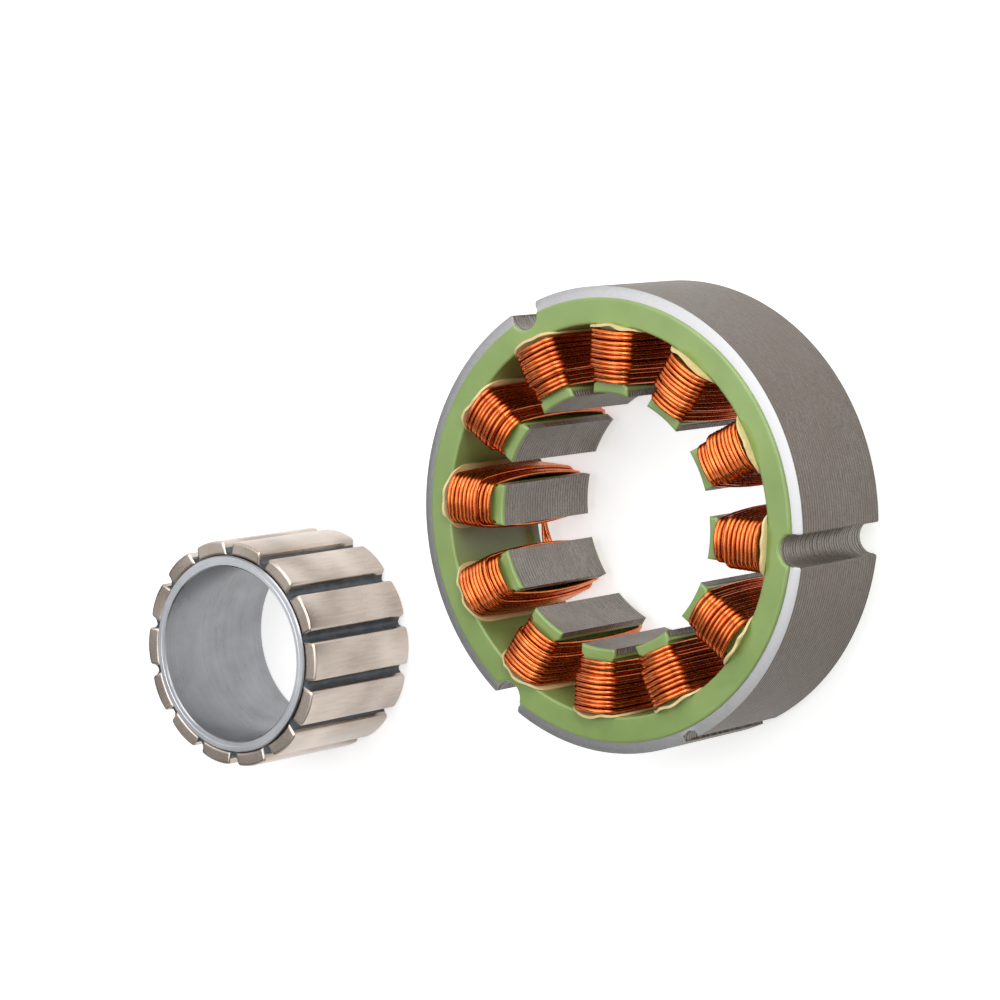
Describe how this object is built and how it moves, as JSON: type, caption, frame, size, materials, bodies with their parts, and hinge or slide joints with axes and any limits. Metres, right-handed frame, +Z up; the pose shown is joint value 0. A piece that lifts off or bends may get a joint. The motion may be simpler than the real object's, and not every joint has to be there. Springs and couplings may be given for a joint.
{
  "type": "frameless motor",
  "caption": "Frameless motor kit: a laminated ring stator with wound teeth facing inwards, and a separate steel ring rotor carrying a row of magnets, both standing on end.",
  "frame": {"origin": "on the stator's axis, at the middle of its steel stack", "axes": "+Z up along the stator's axis, towards the end seen in the picture; the rotor stands beside the stator on the -X side with its own axis parallel to Z"},
  "size_m": [0.1068, 0.0559, 0.0206],
  "materials": {
    "lamination_steel": "stacked sheet edges, satin, warm dark grey",
    "powder_coat": "green epoxy powder coat, soft gloss",
    "copper_wire": "enamelled copper wire, glossy",
    "insulating_paper": "cream insulating paper, matte",
    "rotor_steel": "turned and brushed steel",
    "magnet_plating": "nickel plating, satin",
    "adhesive": "dark adhesive, slight sheen"
  },
  "bodies": {
    "stator": {"stator_core": "lamination_steel", "insulation_coat": "powder_coat", "coil_01": "copper_wire", "coil_02": "copper_wire", "coil_03": "copper_wire", "coil_04": "copper_wire", "coil_05": "copper_wire", "coil_06": "copper_wire", "coil_07": "copper_wire", "coil_08": "copper_wire", "coil_09": "copper_wire", "coil_10": "copper_wire", "coil_11": "copper_wire", "coil_12": "copper_wire", "slot_paper_01": "insulating_paper", "slot_paper_02": "insulating_paper", "slot_paper_03": "insulating_paper", "slot_paper_04": "insulating_paper", "slot_paper_05": "insulating_paper", "slot_paper_06": "insulating_paper", "slot_paper_07": "insulating_paper", "slot_paper_08": "insulating_paper", "slot_paper_09": "insulating_paper", "slot_paper_10": "insulating_paper", "slot_paper_11": "insulating_paper", "slot_paper_12": "insulating_paper", "coil_link_1": "copper_wire", "coil_link_2": "copper_wire", "coil_link_3": "copper_wire", "coil_link_4": "copper_wire", "coil_link_5": "copper_wire", "coil_link_6": "copper_wire"},
    "rotor": {"rotor_ring": "rotor_steel", "magnet_01": "magnet_plating", "magnet_02": "magnet_plating", "magnet_03": "magnet_plating", "magnet_04": "magnet_plating", "magnet_05": "magnet_plating", "magnet_06": "magnet_plating", "magnet_07": "magnet_plating", "magnet_08": "magnet_plating", "magnet_09": "magnet_plating", "magnet_10": "magnet_plating", "magnet_11": "magnet_plating", "magnet_12": "magnet_plating", "magnet_13": "magnet_plating", "magnet_14": "magnet_plating", "magnet_adhesive": "adhesive"}
  },
  "joints": [
    {"name": "rotor_spin", "type": "hinge", "parent": "stator", "child": "rotor", "pos_m": [-0.064, 0.008, -0.00083], "axis": [0, 0, 1], "continuous": true}
  ]
}
